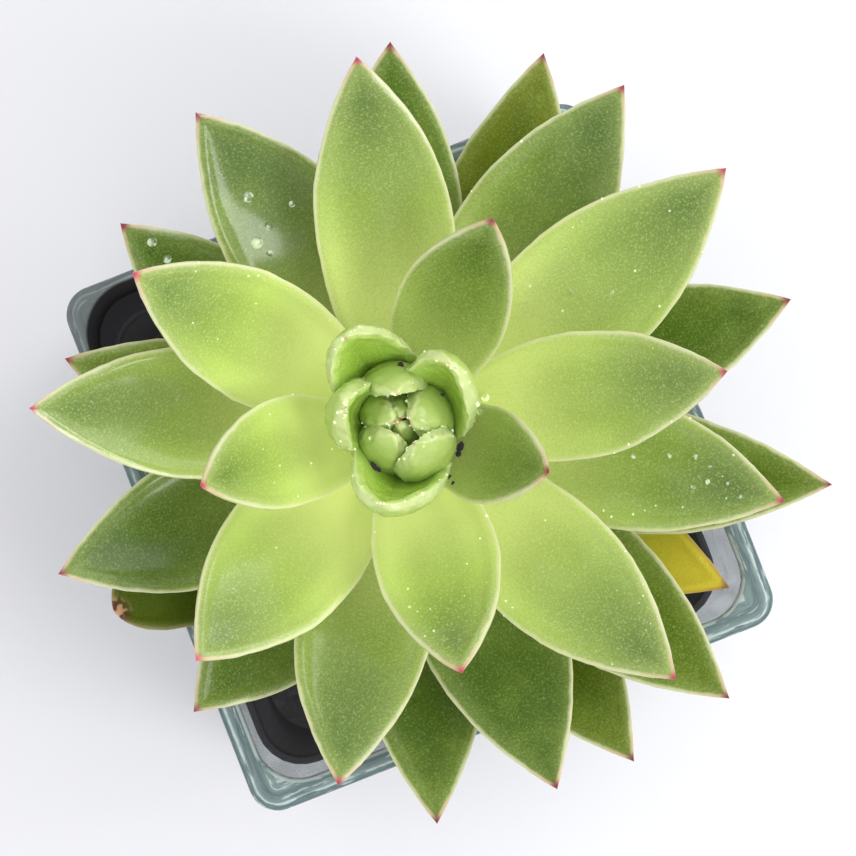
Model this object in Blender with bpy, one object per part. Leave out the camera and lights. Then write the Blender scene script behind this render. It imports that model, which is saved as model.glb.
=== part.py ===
# Lipstick echeveria standing in a plastic grow pot inside a square glass pot.
# Metres, +Z up. The origin is the centre of the glass pot's flat underside, and
# the pot's sides run along X and Y. The plant's own axis stands a little off centre.

import math

import bmesh
import bpy
from mathutils import Matrix, Vector

MM = 0.001
# Pieces that touch keep this much room, so that their meshes stay apart.
GAP = 0.3 * MM
# Faces that meet more sharply than this keep a hard edge.
SMOOTH_BELOW_ANGLE = 40

# Glass pot: a thick-walled cube with rounded corners, open at the top.
GLASS_HALF = 50 * MM
GLASS_HEIGHT = 100 * MM
GLASS_WALL = 3.8 * MM
GLASS_FLOOR = 9 * MM
GLASS_CORNER = 5.2 * MM
GLASS_INNER_CORNER = 8 * MM
GLASS_EDGE = 1 * MM
GLASS_COVE = 3 * MM
CORNER_STEPS = 6

# Grow pot: a thin tapered square pot with a turned-down lip. It leans to one side of the glass.
GROW_HALF = 43.9 * MM
GROW_FOOT_HALF = 33 * MM
GROW_CORNER = 8.5 * MM
GROW_WALL = 1.2 * MM
GROW_LIP_DEPTH = 7 * MM
GROW_LIP_STEP = 1.4 * MM
GROW_LIP_BLEND = 2 * MM
GROW_LIP_EDGE = 0.6 * MM
GROW_FOOT_EDGE = 1 * MM
GROW_BELOW_RIM = 5 * MM
GROW_SHIFT = Vector((-1.4 * MM, -0.5 * MM, 0))
DRAIN_RADIUS = 4 * MM
# How far out the four outer drain holes stand, as a share of the foot's half-width.
DRAIN_AWAY = 0.55

# Potting soil, and the depth of the plain hole that the stem stands in.
SOIL_BELOW_LIP = 9 * MM
SOIL_LUMPS = 0.9 * MM
SOIL_LUMP_LENGTHS = (3.1 * MM, 4.3 * MM)
SOIL_RING_SHARES = (0.22, 0.45, 0.7)
SOIL_SPACING = 12 * MM
STEM_HOLE_DEPTH = 18 * MM

# The plant. Leaves leave the stem on a spiral, one every TURN degrees, from the heart down.
PLANT_AXIS = Vector((-0.7 * MM, 6.5 * MM, 0))
CROWN_HEIGHT = 128 * MM
INTERNODE = 1.0 * MM
STEM_RADIUS = 7 * MM
STEM_CROWN_SHARE = 0.5
STEM_NARROWS_OVER = 9 * MM
STEM_FOOT_ROUND = (1.5 * MM, 6 * MM)
STEM_LEVELS_BELOW_CROWN = (24 * MM, 9 * MM, 4.5 * MM, 0)
STEM_SIDES = 20
TURN = 138.2
FIRST_AZIMUTH = -39.0

# Young leaves stand steep and old ones lie low: slope = OLD + SPREAD * exp(-place / FADE).
OLD_SLOPE = 8.0
SLOPE_SPREAD = 48.0
SLOPE_FADE = 8.0
# A leaf leaves the stem flatter than its mean slope, and its tip turns up by as much.
LEAF_CURL = 9.0

LEAF_FULL_WIDTH = 24 * MM
LEAF_THICKNESS = 5.4 * MM
LEAF_UPPER_SHARE = 0.2
LEAF_CUP = 2.2 * MM
LEAF_CUP_POWER = 3
LEAF_BASE_WIDTH = 0.38
LEAF_WIDEST = 0.5
# A narrower leaf is thinner too, and any leaf thins towards its foot and its point.
LEAF_THINS_WITH_WIDTH = 0.7
LEAF_THINS_WITH_SHARE = 0.8
LEAF_TIP_POWER = 0.9
WITHERED_TIP_POWER = 0.45
LEAF_AROUND = 12
LEAF_ALONG = 10
LEAF_COLOURS = {
    "green_leaf": (0.27, 0.42, 0.10),
    "withered_leaf": (0.10, 0.10, 0.03),
    "yellow_leaf": (0.55, 0.46, 0.05),
}

# Each large leaf from the heart outwards: its place in the spiral, the degrees that it
# drifts off the rule, the reach of its tip from the plant's axis, its width, the sideways
# sway of its middle (all three in mm) and the roll of its blade in degrees.
LARGE_LEAVES = (
    (0, 0, 25.5, 17.0, -0.5, 0),
    (1, -7, 34.0, 18.7, -1.2, 0),
    (2, 0, 37.0, 19.5, 0.0, 0),
    (3, -4, 42.0, 21.5, 0.5, 0),
    (4, 1, 50.5, 22.2, -0.7, 0),
    (5, -2, 54.5, 22.0, 0.0, 0),
    (6, -4, 52.0, 24.6, 0.0, 0),
    (7, 2, 61.5, 24.0, -1.2, 0),
    (8, 0.5, 62.5, 23.5, -0.4, 0),
    (9, -1, 62.5, 23.0, -0.5, 0),
    (10, -2, 69.5, 25.5, -1.9, 0),
    (11, -2, 62.0, 24.0, -0.5, 0),
    (12, -0.5, 63.5, 24.5, -2.2, 0),
    (13, 3, 66.5, 24.0, 1.2, 0),
    (14, -4, 64.0, 24.0, 1.4, 0),
    (15, -12.5, 69.5, 25.5, -0.4, -10),
    (16, 2, 68.0, 25.4, 0.4, 0),
    (17, -8.5, 59.8, 21.5, 1.9, 0),
    (18, 3.2, 70.5, 24.0, -1.2, -12),
    (19, -2.5, 61.5, 25.0, 3.0, 0),
    (20, -6.5, 66.5, 24.0, 0.1, 0),
    (21, 0, 74.0, 24.5, -0.4, 0),
    (22, -13, 60.0, 20.5, 2.0, 0),
    (23, 1.5, 50.0, 18.5, 0.0, 0),
    (24, 9.5, 70.0, 23.0, 0.0, 0),
    (25, -5, 50.0, 19.0, 0.0, 0),
    (26, 3, 76.0, 23.0, -2.0, 0),
    (27, 2.2, 60.5, 20.5, 1.8, 0),
    (28, -3.5, 70.0, 23.0, -3.0, 0),
    (29, 10, 72.0, 24.0, -0.5, 0),
    (34, 10, 65.0, 20.5, -1.2, 4),
)
WITHERED_PLACE = 27
YELLOW_PLACE = 34

# Each young leaf of the heart, counted inwards from the first large one: its place, drift,
# its tip's reach and height over the crown, its width, thickness, curl, cup and sway. The
# outer four stand up, and the inner ones curl over until their backs face up.
HEART_LEAVES = (
    (-1, 2, 17.0, 28.0, 15.5, 4.2, 14, 4.4, -0.8),
    (-2, -2, 13.4, 27.5, 17.0, 4.6, 16, 5.0, 1.5),
    (-3, 15, 12.6, 28.0, 14.8, 4.8, 16, 4.2, -2.0),
    (-4, -13, 9.6, 26.5, 12.8, 4.8, 20, 3.0, 0.8),
    (-5, -3, 3.6, 25.0, 12.4, 4.2, 40, 1.6, 0.0),
    (-6, 8, 5.0, 23.5, 12.0, 4.2, 42, 2.0, 0.0),
    (-7, 6, 1.6, 22.5, 10.0, 4.4, 42, 1.6, 0.0),
    (-8, 14, 1.4, 22.5, 10.4, 4.4, 44, 1.6, 0.0),
    (-9, 4, 1.0, 20.5, 7.4, 4.0, 42, 1.0, 0.0),
    (-10, 20, -0.6, 21.0, 5.6, 3.4, 26, 0.6, 0.0),
    (-11, 25, 1.2, 21.0, 4.8, 3.0, 22, 0.6, 0.0),
    (-12, -50, 0.0, 20.5, 4.4, 3.0, 22, 0.5, 0.0),
)
HEART_TIP_POWER = 0.5
HEART_BLUNTNESS = 0.55
HEART_CUP_POWER = 1.7
HEART_FOOT_RADIUS = 2.0 * MM
HEART_FOOT_RISE = 2.0 * MM
HEART_CORE_HEIGHT = 14 * MM
HEART_CORE_SIDES = 16
HEART_CORE_TOP_SHARE = 0.5
HEART_AROUND = 12
HEART_ALONG = 10


def clear_scene():
    for thing in list(bpy.data.objects):
        bpy.data.objects.remove(thing, do_unlink=True)


def material(name, colour, roughness, metallic=0.0):
    made = bpy.data.materials.new(name)
    made.use_nodes = True
    shader = made.node_tree.nodes["Principled BSDF"]
    shader.inputs["Base Color"].default_value = (*colour, 1.0)
    shader.inputs["Roughness"].default_value = roughness
    shader.inputs["Metallic"].default_value = metallic
    return made


def finished(name, bm, finish):
    bmesh.ops.recalc_face_normals(bm, faces=bm.faces)
    mesh = bpy.data.meshes.new(name)
    bm.to_mesh(mesh)
    bm.free()
    mesh.shade_smooth()
    mesh.set_sharp_from_angle(angle=math.radians(SMOOTH_BELOW_ANGLE))
    mesh.materials.append(finish)
    thing = bpy.data.objects.new(name, mesh)
    bpy.context.scene.collection.objects.link(thing)
    return thing


# Rings and the skins between them


def square_ring(half, corner, height):
    """Points round a square with rounded corners, anticlockwise seen from above."""
    points = []
    for quarter in range(4):
        for step in range(CORNER_STEPS + 1):
            angle = math.radians(90 * (quarter + step / CORNER_STEPS))
            middle = math.radians(90 * quarter + 45)
            inset = (half - corner) * math.sqrt(2)
            points.append(
                Vector(
                    (
                        inset * math.cos(middle) + corner * math.cos(angle),
                        inset * math.sin(middle) + corner * math.sin(angle),
                        height,
                    )
                )
            )
    return points


def skin(bm, rings):
    """Closed body through the rings, with flat caps on the first and the last."""
    loops = [[bm.verts.new(point) for point in ring] for ring in rings]
    for low, high in zip(loops, loops[1:]):
        for i in range(len(low)):
            j = (i + 1) % len(low)
            bm.faces.new((low[i], low[j], high[j], high[i]))
    bm.faces.new(list(reversed(loops[0])))
    bm.faces.new(loops[-1])


# Pots and soil


def glass_pot():
    edge = GLASS_EDGE
    soft = edge * (1 - math.sqrt(0.5))
    inner = GLASS_HALF - GLASS_WALL
    inner_corner = GLASS_INNER_CORNER
    cove = GLASS_COVE
    cove_soft = cove * (1 - math.sqrt(0.5))
    top = GLASS_HEIGHT
    rings = [
        square_ring(GLASS_HALF - edge, GLASS_CORNER - edge, 0),
        square_ring(GLASS_HALF - soft, GLASS_CORNER - soft, soft),
        square_ring(GLASS_HALF, GLASS_CORNER, edge),
        square_ring(GLASS_HALF, GLASS_CORNER, top - edge),
        square_ring(GLASS_HALF - soft, GLASS_CORNER - soft, top - soft),
        square_ring(GLASS_HALF - edge, GLASS_CORNER - edge, top),
        square_ring(inner + edge, inner_corner + edge, top),
        square_ring(inner + soft, inner_corner + soft, top - soft),
        square_ring(inner, inner_corner, top - edge),
        square_ring(inner, inner_corner, GLASS_FLOOR + cove),
        square_ring(inner - cove_soft, inner_corner, GLASS_FLOOR + cove_soft),
        square_ring(inner - cove, inner_corner, GLASS_FLOOR),
    ]
    bm = bmesh.new()
    skin(bm, rings)
    return finished("glass_pot", bm, material("clear_glass", (0.80, 0.90, 0.88), 0.05))


def grow_half_at(height, foot, top):
    """Half-width of the grow pot's tapered body at a height."""
    share = (height - foot) / (top - foot)
    return GROW_FOOT_HALF + (GROW_HALF - GROW_LIP_STEP - GROW_FOOT_HALF) * share


def grow_pot():
    foot = GLASS_FLOOR + GAP
    top = GLASS_HEIGHT - GROW_BELOW_RIM
    lip_foot = top - GROW_LIP_DEPTH
    corner = GROW_CORNER
    lip_corner = corner - GROW_LIP_EDGE
    under_lip = grow_half_at(lip_foot, foot, top)
    floor = foot + GROW_WALL
    floor_half = grow_half_at(floor, foot, top) - GROW_WALL
    rings = [
        square_ring(GROW_FOOT_HALF - GROW_FOOT_EDGE, corner - GROW_FOOT_EDGE, foot),
        square_ring(GROW_FOOT_HALF, corner, foot + GROW_FOOT_EDGE),
        square_ring(under_lip, corner, lip_foot),
        square_ring(GROW_HALF, corner, lip_foot),
        square_ring(GROW_HALF, corner, top - GROW_LIP_EDGE),
        square_ring(GROW_HALF - GROW_LIP_EDGE, lip_corner, top),
        square_ring(GROW_HALF - GROW_WALL, corner - GROW_WALL, top),
        square_ring(under_lip - GROW_WALL, corner - GROW_WALL, lip_foot - GROW_LIP_BLEND),
        square_ring(floor_half, corner - GROW_WALL, floor),
    ]
    bm = bmesh.new()
    skin(bm, rings)
    bmesh.ops.translate(bm, vec=GROW_SHIFT, verts=bm.verts)
    pot = finished("grow_pot", bm, material("black_plastic", (0.012, 0.012, 0.014), 0.35))
    cut = pot.modifiers.new("drain_holes", "BOOLEAN")
    cut.operation = "DIFFERENCE"
    cut.object = drain_cutter(foot)
    return pot


def drain_cutter(foot):
    bm = bmesh.new()
    away = DRAIN_AWAY * GROW_FOOT_HALF
    for x, y in ((0, 0), (away, away), (-away, away), (-away, -away), (away, -away)):
        place = Matrix.Translation(GROW_SHIFT + Vector((x, y, foot + GROW_WALL / 2)))
        bmesh.ops.create_cone(
            bm, cap_ends=True, segments=16, radius1=DRAIN_RADIUS, radius2=DRAIN_RADIUS,
            depth=4 * GROW_WALL, matrix=place,
        )
    cutter = finished("drain_cutter", bm, material("cutter", (1, 0, 0), 0.5))
    cutter.hide_render = True
    cutter.display_type = "WIRE"
    return cutter


def soil_top():
    return GLASS_HEIGHT - GROW_BELOW_RIM - SOIL_BELOW_LIP


def close_set(ring, spacing):
    """The ring with points added along its long edges."""
    points = []
    for point, after in zip(ring, ring[1:] + ring[:1]):
        parts = max(1, round((after - point).length / spacing))
        points += [point.lerp(after, part / parts) for part in range(parts)]
    return points


def soil():
    foot = GLASS_FLOOR + GAP
    grow_top = GLASS_HEIGHT - GROW_BELOW_RIM
    low = foot + GROW_WALL + GAP
    high = soil_top()
    slack = GROW_WALL + GAP
    corner = GROW_CORNER - slack
    # The wall leans, so the soil stands off by the gap twice over.
    low_half = grow_half_at(low, foot, grow_top) - slack - GAP
    high_half = grow_half_at(high, foot, grow_top) - slack - GAP
    axis = PLANT_AXIS - GROW_SHIFT
    hole_radius = STEM_RADIUS + GAP

    def hole_edge(point, height):
        away = Vector((point.x - axis.x, point.y - axis.y, 0)).normalized() * hole_radius
        return Vector((axis.x + away.x, axis.y + away.y, height))

    base = close_set(square_ring(low_half, corner, low), SOIL_SPACING)
    outline = [Vector((p.x * high_half / low_half, p.y * high_half / low_half, high)) for p in base]
    rings = [base, outline]
    long_way, cross_way = SOIL_LUMP_LENGTHS
    for share in SOIL_RING_SHARES:
        ring = []
        for point in outline:
            at = point.lerp(hole_edge(point, high), share)
            wave = math.sin(at.x / long_way + 1) * math.cos(at.y / cross_way)
            at.z += SOIL_LUMPS * wave
            ring.append(at)
        rings.append(ring)
    rings.append([hole_edge(point, high) for point in outline])
    rings.append([hole_edge(point, high - STEM_HOLE_DEPTH) for point in outline])
    bm = bmesh.new()
    skin(bm, rings)
    bmesh.ops.translate(bm, vec=GROW_SHIFT, verts=bm.verts)
    return finished("potting_soil", bm, material("soil", (0.05, 0.033, 0.022), 0.95))


# The plant


def stem_radius_at(height):
    """The stem is even below the leaves and narrows to the crown."""
    below = max(0.0, CROWN_HEIGHT - height)
    widened = min(1.0, below / STEM_NARROWS_OVER)
    return STEM_RADIUS * (STEM_CROWN_SHARE + (1 - STEM_CROWN_SHARE) * widened)


def stem():
    foot = soil_top() - STEM_HOLE_DEPTH + GAP
    narrower, rise = STEM_FOOT_ROUND
    heights = [foot, foot + rise]
    heights += [CROWN_HEIGHT - below for below in STEM_LEVELS_BELOW_CROWN]
    bm = bmesh.new()
    rings = []
    for height in heights:
        radius = stem_radius_at(height) - (narrower if height == foot else 0)
        ring = []
        for step in range(STEM_SIDES):
            angle = 2 * math.pi * step / STEM_SIDES
            ring.append(Vector((radius * math.cos(angle), radius * math.sin(angle), height)))
        rings.append(ring)
    skin(bm, rings)
    bmesh.ops.translate(bm, vec=PLANT_AXIS, verts=bm.verts)
    return finished("stem", bm, material("stem", (0.30, 0.24, 0.12), 0.8))


def slope_at(place):
    return OLD_SLOPE + SLOPE_SPREAD * math.exp(-place / SLOPE_FADE)


def outline_at(s, tip_power):
    """Share of the full width at s, from 0 at the stem to 1 at the tip."""
    if s < LEAF_WIDEST:
        return 1 - (1 - LEAF_BASE_WIDTH) * ((LEAF_WIDEST - s) / LEAF_WIDEST) ** 2
    return math.sin(math.pi / 2 * ((1 - s) / (1 - LEAF_WIDEST)) ** tip_power)


def leaf_body(bm, place, drift, height, foot_radius, length, width, **shape):
    """One fleshy leaf: a sphere whose poles become the leaf's foot and its point."""
    first = math.radians(shape["slope"] - shape["curl"])
    bend = math.radians(2 * shape["curl"])
    upper = LEAF_UPPER_SHARE * shape["thickness"]
    lower = shape["thickness"] - upper
    turn = Matrix.Rotation(math.radians(FIRST_AZIMUTH - TURN * place + drift), 3, "Z")
    foot = PLANT_AXIS + Vector((0, 0, height))
    blunt = shape["bluntness"]

    made = bmesh.ops.create_uvsphere(
        bm, u_segments=shape["around"], v_segments=shape["along"], radius=1
    )
    for vert in made["verts"]:
        s = (1 + vert.co.z) / 2
        side = Vector((vert.co.x, vert.co.y))
        side = side.normalized() if side.length > 1e-4 else Vector((0, 0))
        share = outline_at(s, shape["tip_power"])
        # Across the blade: nearly flat above with raised margins, keeled below. A bluntness
        # under 1 squares the section, which leaves a thick margin.
        x = math.copysign(abs(side.x) ** blunt, side.x)
        y = math.copysign(abs(side.y) ** blunt, side.y)
        across = x * width / 2 * share
        rise = shape["cup"] * share ** 2 * abs(x) ** shape["cup_power"]
        rise += (upper if y > 0 else lower) * y * share ** LEAF_THINS_WITH_SHARE
        twist = math.radians(shape["roll"]) * s
        across, rise = (
            across * math.cos(twist) - rise * math.sin(twist),
            across * math.sin(twist) + rise * math.cos(twist),
        )
        angle = first + bend * s
        out = length * (math.sin(angle) - math.sin(first)) / bend
        up = length * (math.cos(first) - math.cos(angle)) / bend
        point = Vector(
            (
                foot_radius + out - rise * math.sin(angle),
                across + shape["sway"] * 4 * s * (1 - s),
                up + rise * math.cos(angle),
            )
        )
        vert.co = turn @ point + foot


def large_leaf(place, drift, reach, width, sway, roll):
    finish = "green_leaf"
    tip_power = LEAF_TIP_POWER
    if place == WITHERED_PLACE:
        finish = "withered_leaf"
        tip_power = WITHERED_TIP_POWER
    if place == YELLOW_PLACE:
        finish = "yellow_leaf"
    size = width * MM / LEAF_FULL_WIDTH
    shape = {
        "slope": slope_at(place), "curl": LEAF_CURL, "cup": LEAF_CUP * size,
        "thickness": LEAF_THICKNESS * size ** LEAF_THINS_WITH_WIDTH, "bluntness": 1,
        "cup_power": LEAF_CUP_POWER, "sway": sway * MM, "roll": roll, "tip_power": tip_power,
        "around": LEAF_AROUND, "along": LEAF_ALONG,
    }
    height = CROWN_HEIGHT - INTERNODE * place
    first = math.radians(shape["slope"] - LEAF_CURL)
    last = math.radians(shape["slope"] + LEAF_CURL)
    # The steep foot of a young leaf leans its upper edge towards the stem, so it stands off.
    lean = LEAF_UPPER_SHARE * shape["thickness"] + shape["cup"]
    lean *= LEAF_BASE_WIDTH ** 2 * max(0.0, math.sin(first))
    foot_radius = stem_radius_at(height) + GAP + lean
    level_share = (math.sin(last) - math.sin(first)) / (last - first)
    length = (reach * MM - foot_radius) / level_share
    bm = bmesh.new()
    leaf_body(bm, place, drift, height, foot_radius, length, width * MM, **shape)
    found = bpy.data.materials.get(finish) or material(finish, LEAF_COLOURS[finish], 0.4)
    return finished(f"leaf_{place + 1:02d}", bm, found)


def heart_leaf(pale, place, drift, reach, tall, width, thickness, curl, cup, sway):
    out = reach * MM - HEART_FOOT_RADIUS
    up = tall * MM - HEART_FOOT_RISE
    bent = math.radians(curl)
    bm = bmesh.new()
    leaf_body(
        bm, place, drift, CROWN_HEIGHT + HEART_FOOT_RISE, HEART_FOOT_RADIUS,
        math.hypot(out, up) * bent / math.sin(bent), width * MM,
        slope=math.degrees(math.atan2(up, out)), curl=curl, thickness=thickness * MM,
        bluntness=HEART_BLUNTNESS, cup=cup * MM, cup_power=HEART_CUP_POWER, sway=sway * MM,
        roll=0, tip_power=HEART_TIP_POWER, around=HEART_AROUND, along=HEART_ALONG,
    )
    return finished(f"heart_leaf_{-place:02d}", bm, pale)


def connected(start):
    """Every corner that edges join to this one."""
    found = {start}
    waiting = [start]
    while waiting:
        corner = waiting.pop()
        for edge in corner.link_edges:
            other = edge.other_vert(corner)
            if other not in found:
                found.add(other)
                waiting.append(other)
    return found


def fill_hollows(mesh):
    """Drop the inner walls that the union leaves round any hollow it has sealed."""
    bm = bmesh.new()
    bm.from_mesh(mesh)
    highest = max(bm.verts, key=lambda corner: corner.co.z)
    outside = connected(highest)
    inner = [corner for corner in bm.verts if corner not in outside]
    bmesh.ops.delete(bm, geom=inner, context="VERTS")
    bm.to_mesh(mesh)
    bm.free()


def heart():
    """The young leaves grown together at the crown: one body."""
    pale = material("young_leaf", (0.45, 0.60, 0.18), 0.4)
    bm = bmesh.new()
    radius = stem_radius_at(CROWN_HEIGHT)
    middle = PLANT_AXIS + Vector((0, 0, CROWN_HEIGHT + GAP + HEART_CORE_HEIGHT / 2))
    bmesh.ops.create_cone(
        bm, cap_ends=True, segments=HEART_CORE_SIDES, radius1=radius,
        radius2=radius * HEART_CORE_TOP_SHARE, depth=HEART_CORE_HEIGHT,
        matrix=Matrix.Translation(middle),
    )
    core = finished("heart", bm, pale)
    together = bpy.data.collections.new("heart_leaves")
    bpy.context.scene.collection.children.link(together)
    for row in HEART_LEAVES:
        leaf = heart_leaf(pale, *row)
        bpy.context.scene.collection.objects.unlink(leaf)
        together.objects.link(leaf)
    union = core.modifiers.new("grown_together", "BOOLEAN")
    union.operation = "UNION"
    union.operand_type = "COLLECTION"
    union.collection = together
    union.solver = "MANIFOLD"
    bpy.context.view_layer.update()
    graph = bpy.context.evaluated_depsgraph_get()
    joined = bpy.data.meshes.new_from_object(core.evaluated_get(graph))
    core.modifiers.remove(union)
    fill_hollows(joined)
    core.data = joined
    for leaf in list(together.objects):
        bpy.data.objects.remove(leaf, do_unlink=True)
    bpy.data.collections.remove(together)
    return core


def main():
    clear_scene()
    glass_pot()
    grow_pot()
    soil()
    stem()
    heart()
    for row in LARGE_LEAVES:
        large_leaf(*row)


main()
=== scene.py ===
# Lipstick echeveria in a square glass pot: the looks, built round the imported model.
# Metres, +Z up, in the model's own frame. Dictionaries hold millimetres and degrees,
# and colours as a screen shows them, 0 to 255. Colours of light are linear, 0 to 1.

import math
import random

import bmesh
import bpy
from mathutils import Matrix, Vector, noise
from mathutils.bvhtree import BVHTree


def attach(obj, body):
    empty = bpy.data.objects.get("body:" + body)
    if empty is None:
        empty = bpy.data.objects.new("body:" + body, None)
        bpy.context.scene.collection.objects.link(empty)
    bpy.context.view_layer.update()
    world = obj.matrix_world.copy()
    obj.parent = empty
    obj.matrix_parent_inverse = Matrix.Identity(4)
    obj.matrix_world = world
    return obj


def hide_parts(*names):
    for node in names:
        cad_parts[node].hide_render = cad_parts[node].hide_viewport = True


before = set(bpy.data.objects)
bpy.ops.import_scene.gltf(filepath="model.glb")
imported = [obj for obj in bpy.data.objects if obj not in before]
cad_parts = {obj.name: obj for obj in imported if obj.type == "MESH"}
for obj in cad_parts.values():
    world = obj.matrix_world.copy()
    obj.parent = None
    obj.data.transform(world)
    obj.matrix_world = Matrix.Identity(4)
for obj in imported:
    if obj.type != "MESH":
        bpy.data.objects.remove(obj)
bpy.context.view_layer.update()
mm = 0.001


# Shader wires and nodes


# A wire in a material that does sums: wire * 2, 1 - wire, one + other.
class Wire:
    def __init__(self, tree, socket):
        self.tree = tree
        self.socket = socket

    def sums(self, operation, first, second=None):
        made = self.tree.nodes.new("ShaderNodeMath")
        made.operation = operation
        for slot, value in zip(made.inputs, (first, second)):
            plug(self.tree, slot, value)
        return Wire(self.tree, made.outputs[0])

    def __add__(self, other):
        return self.sums("ADD", self, other)

    def __radd__(self, other):
        return self.sums("ADD", other, self)

    def __sub__(self, other):
        return self.sums("SUBTRACT", self, other)

    def __rsub__(self, other):
        return self.sums("SUBTRACT", other, self)

    def __mul__(self, other):
        return self.sums("MULTIPLY", self, other)

    def __rmul__(self, other):
        return self.sums("MULTIPLY", other, self)

    def __pow__(self, other):
        return self.sums("POWER", self, other)

    def __abs__(self):
        return self.sums("ABSOLUTE", self)

    def atLeast(self, other):
        return self.sums("MAXIMUM", self, other)


def plug(tree, slot, value):
    if isinstance(value, Wire):
        tree.links.new(value.socket, slot)
    elif value is not None:
        slot.default_value = value


# A material with one Principled shader. Fixed values go straight onto the shader.
class Finish:
    def __init__(self, name, **fixed):
        self.material = bpy.data.materials.new(name)
        self.material.use_nodes = True
        # Faint glows aren't sampled as lamps, which would only slow the render.
        self.material.cycles.emission_sampling = "NONE"
        self.tree = self.material.node_tree
        self.shader = self.tree.nodes["Principled BSDF"]
        for socket, value in fixed.items():
            self.shader.inputs[socket.replace("_", " ")].default_value = value

    def node(self, kind, settings=None, sockets=None, out=0):
        made = self.tree.nodes.new(kind)
        for key, value in (settings or {}).items():
            if key == "stops":
                ramp = made.color_ramp.elements
                while len(ramp) < len(value):
                    ramp.new(0.5)
                for stop, (place, colour) in zip(ramp, value):
                    stop.position = place
                    stop.color = (*colour, 1)
            else:
                setattr(made, key, value)
        for key, value in (sockets or {}).items():
            plug(self.tree, made.inputs[key], value)
        return Wire(self.tree, made.outputs[out])

    def spot(self):
        return self.node("ShaderNodeTexCoord", out="Object")

    # Where a point lies along an axis, in millimetres.
    def place(self, axis):
        metres = self.node("ShaderNodeSeparateXYZ", sockets={"Vector": self.spot()}, out=axis)
        return metres * (1 / mm)

    def reading(self, name):
        return self.node("ShaderNodeAttribute", {"attribute_name": name}, out="Fac")

    def grain(self, scale, detail, rough, stretch=None, where=None):
        where = where or self.spot()
        if stretch:
            where = self.node("ShaderNodeMapping", sockets={"Vector": where, "Scale": stretch})
        sockets = {"Vector": where, "Scale": scale, "Detail": detail, "Roughness": rough}
        return self.node("ShaderNodeTexNoise", sockets=sockets, out="Fac")

    def fade(self, value, start, end, low=0, high=1):
        sockets = {"Value": value, 1: start, 2: end, 3: low, 4: high}
        return self.node("ShaderNodeMapRange", {"interpolation_type": "SMOOTHSTEP"}, sockets)

    def blend(self, share, first, second):
        sockets = {0: share, 6: colourOf(first), 7: colourOf(second)}
        return self.node("ShaderNodeMix", {"data_type": "RGBA"}, sockets, out=2)

    def ramp(self, value, places, colours):
        stops = list(zip(places, colours))
        return self.node("ShaderNodeValToRGB", {"stops": stops}, {"Fac": value})

    def shows(self, **wires):
        for socket, value in wires.items():
            plug(self.tree, self.shader.inputs[socket.replace("_", " ")], value)
        return self.material

    def bumped(self, height, depth):
        sockets = {"Height": height, "Distance": depth * mm, "Strength": 1}
        return self.node("ShaderNodeBump", sockets=sockets)


def colourOf(value):
    return value if isinstance(value, Wire) else (*value, 1)


# The linear colour of a screen colour given as 0 to 255.
def paint(red, green, blue):
    return tuple(
        part / 3294.6 if part <= 10 else ((part / 255 + 0.055) / 1.055) ** 2.4
        for part in (red, green, blue)
    )


def inkOf(colours):
    return {name: paint(*colour) for name, colour in colours.items()}


noGlow = (0, 0, 0)


# Finishing a piece


def finished(name, bm, material, slot, *nodes, smooth=True):
    mesh = bpy.data.meshes.new(name)
    bm.to_mesh(mesh)
    bm.free()
    if smooth:
        mesh.shade_smooth()
    mesh.materials.append(material)
    piece = bpy.data.objects.new(name, mesh)
    bpy.context.scene.collection.objects.link(piece)
    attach(piece, "root")
    if nodes:
        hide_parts(*nodes)
    return piece


# Leaf finishes

leafColours = {
    "youngBase": (232, 244, 148), "youngMiddle": (194, 221, 106), "youngEnd": (110, 138, 54),
    "oldBase": (124, 156, 46), "oldMiddle": (66, 98, 12), "oldEnd": (68, 98, 18),
    "marginGlow": (196, 214, 124), "margin": (226, 226, 178), "blush": (206, 150, 122),
    "youngPoint": (200, 60, 92), "oldPoint": (112, 30, 36), "under": (150, 172, 96),
    "bloom": (212, 228, 146), "olive": (126, 136, 4), "inner": (158, 196, 62),
    "shade": (30, 52, 4), "tan": (212, 168, 126),
}
leafShares = {"inner": 0, "tan": 0, "pointSize": 1.0, "glow": 0.24}

# By slot: the material's name, then what it changes in the colours and the shares.
leafKinds = {
    "green_leaf": ("waxyLeaf", {}, {}),
    "young_leaf": (
        "youngLeaf",
        {
            "youngBase": (138, 168, 66), "youngMiddle": (164, 190, 88),
            "youngEnd": (180, 204, 108), "marginGlow": (188, 210, 124),
            "margin": (212, 226, 158), "blush": (200, 214, 136), "under": (174, 199, 104),
            "youngPoint": (226, 130, 104),
        },
        {"inner": 0.9, "pointSize": 0.4, "glow": 0.0},
    ),
    "withered_leaf": (
        "witheredLeaf",
        {
            "oldBase": (66, 92, 8), "oldMiddle": (66, 90, 6), "oldEnd": (82, 98, 14),
            "marginGlow": (112, 118, 30), "margin": (150, 140, 70), "youngMiddle": (82, 104, 14),
            "oldPoint": (92, 44, 34), "blush": (130, 96, 66), "bloom": (120, 134, 50),
        },
        {"tan": 0.9, "pointSize": 1.5},
    ),
    "yellow_leaf": (
        "yellowLeaf",
        {
            "oldBase": (214, 208, 76), "oldMiddle": (208, 202, 60), "oldEnd": (206, 188, 52),
            "youngMiddle": (218, 210, 72), "marginGlow": (206, 196, 68),
            "margin": (192, 160, 66), "shade": (176, 160, 30), "bloom": (236, 226, 110),
            "under": (214, 202, 80), "oldPoint": (130, 76, 36), "blush": (184, 110, 60),
        },
        {},
    ),
}

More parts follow.
